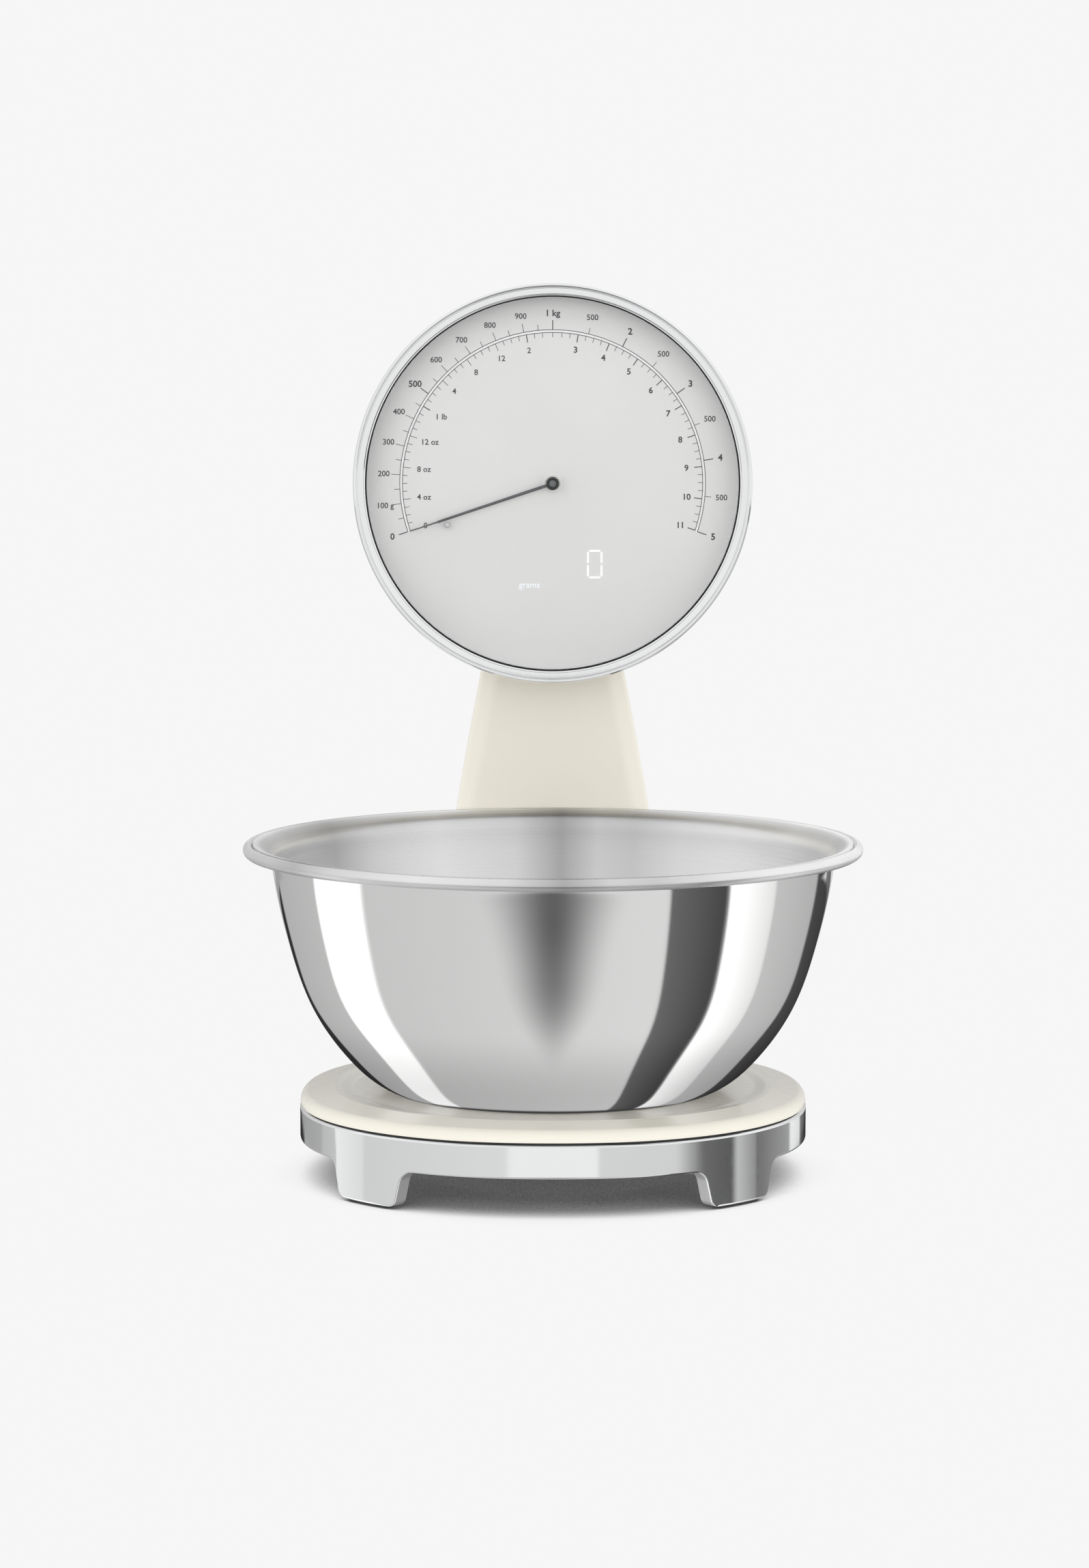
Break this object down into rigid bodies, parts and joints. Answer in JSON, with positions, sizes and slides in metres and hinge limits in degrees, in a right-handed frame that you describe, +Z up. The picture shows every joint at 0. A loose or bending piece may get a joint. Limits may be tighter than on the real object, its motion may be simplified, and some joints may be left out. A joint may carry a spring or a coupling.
{
  "type": "kitchen scale",
  "caption": "Retro kitchen scale: round dial with pointer and digit display on a column, cream plate on a footed chrome base, lift-off steel bowl.",
  "frame": {"origin": "centre of the footprint box, on the table the feet stand on", "axes": "+Z up, -Y towards the reader of the dial, +X to the reader's right"},
  "size_m": [0.2624, 0.2835, 0.3765],
  "materials": {
    "chrome": "bright chrome plate",
    "bowl_steel": "mirror polished outside, satin brushed inside and on the rim",
    "cream_body": "smooth gloss, warm cream",
    "black_rubber": "matt",
    "grey_plastic": "fine moulded texture",
    "white_plastic": "smooth moulded",
    "black_plastic": "smooth moulded",
    "screw_steel": "zinc plated",
    "frame_steel": "bent sheet, satin",
    "aluminium": "machined",
    "cell_jacket": "printed sleeve, plain colour",
    "contact_metal": "nickel plated",
    "circuit_board": "solder resist, semi gloss",
    "glass": "clear polished",
    "dial_silver": "fine satin silver with printed scales",
    "pointer_metal": "satin dark grey",
    "pin_metal": "turned",
    "brass": "turned",
    "copper_wire": "enamelled copper winding",
    "digit_window": "silver, with a lit white digit"
  },
  "bodies": {
    "base": {"base_ring": "chrome", "bezel": "chrome", "column_front_shell": "cream_body", "column_rear_shell": "cream_body", "drum_housing": "cream_body", "back_cover": "cream_body", "foot_pad_back_right": "black_rubber", "foot_pad_back_left": "black_rubber", "foot_pad_front_left": "black_rubber", "foot_pad_front_right": "black_rubber", "dust_seal": "black_rubber", "lens_gasket": "black_rubber", "cable_harness": "black_rubber", "base_tray": "grey_plastic", "head_chassis": "black_plastic", "strain_gauge_potting": "white_plastic", "tray_screws": "screw_steel", "load_cell_screws_lower": "screw_steel", "column_frame_screws": "screw_steel", "column_rear_screws": "screw_steel", "back_cover_screws": "screw_steel", "head_frame_screws": "screw_steel", "chassis_screws": "screw_steel", "load_cell": "aluminium", "load_cell_spacer_lower": "aluminium", "battery_1": "cell_jacket", "battery_2": "cell_jacket", "battery_3": "cell_jacket", "battery_contacts": "contact_metal", "battery_springs": "contact_metal", "weigh_board": "circuit_board", "head_board": "circuit_board", "column_frame": "frame_steel", "motor_stator": "frame_steel", "lens": "glass", "spacer_ring": "aluminium", "dial_plate": "dial_silver", "light_guide": "digit_window", "dial_bushing": "brass", "rest_pin": "pin_metal", "led_display": "black_plastic", "switch_tare": "black_plastic", "switch_unit": "black_plastic", "motor_coils": "copper_wire", "motor_case_front": "black_plastic", "motor_case_rear": "black_plastic"},
    "platform": {"weighing_plate": "cream_body", "plate_carrier": "frame_steel", "carrier_pads": "black_rubber", "load_cell_spacer_upper": "aluminium", "load_cell_screws_upper": "screw_steel"},
    "bowl": {"bowl": "bowl_steel"},
    "pointer": {"pointer": "pointer_metal", "pointer_cap": "pointer_metal", "output_gear": "white_plastic"},
    "idler": {"idler_gear": "white_plastic"},
    "rotor": {"rotor": "white_plastic"},
    "button_tare": {"button_tare": "white_plastic"},
    "button_unit": {"button_unit": "white_plastic"},
    "battery_door": {"battery_door": "grey_plastic"}
  },
  "joints": [
    {"name": "platform_press", "type": "slide", "parent": "base", "child": "platform", "axis": [0, 0, -1], "range_m": [0, 0.0008], "stiffness_N_per_m": 60000, "springref_m": -0.0003, "deforming": ["load_cell"]},
    {"name": "bowl_lift_off", "type": "slide", "parent": "platform", "child": "bowl", "axis": [0, -0.7071, 0.7071], "range_m": [0, 0.3]},
    {"name": "pointer_turn", "type": "hinge", "parent": "base", "child": "pointer", "pos_m": [0, 0.0896, 0.2882], "axis": [0, 1, 0], "range_deg": [0, 217]},
    {"name": "idler_spin", "type": "hinge", "parent": "base", "child": "idler", "pos_m": [0, 0.0896, 0.3026], "axis": [0, 1, 0], "range_deg": [-1085, 0]},
    {"name": "rotor_spin", "type": "hinge", "parent": "base", "child": "rotor", "pos_m": [0, 0.0896, 0.3116], "axis": [0, 1, 0], "range_deg": [0, 5425]},
    {"name": "button_tare_press", "type": "slide", "parent": "base", "child": "button_tare", "axis": [0, -1, 0], "range_m": [0, 0.001], "stiffness_N_per_m": 600, "springref_m": -0.001},
    {"name": "button_unit_press", "type": "slide", "parent": "base", "child": "button_unit", "axis": [0, -1, 0], "range_m": [0, 0.001], "stiffness_N_per_m": 600, "springref_m": -0.001},
    {"name": "battery_door_slide", "type": "slide", "parent": "base", "child": "battery_door", "axis": [0, 1, 0], "range_m": [0, 0.038]}
  ],
  "couplings": [
    {"joint": "idler_spin", "follows": "pointer_turn", "ratio": -5},
    {"joint": "rotor_spin", "follows": "pointer_turn", "ratio": 25}
  ]
}
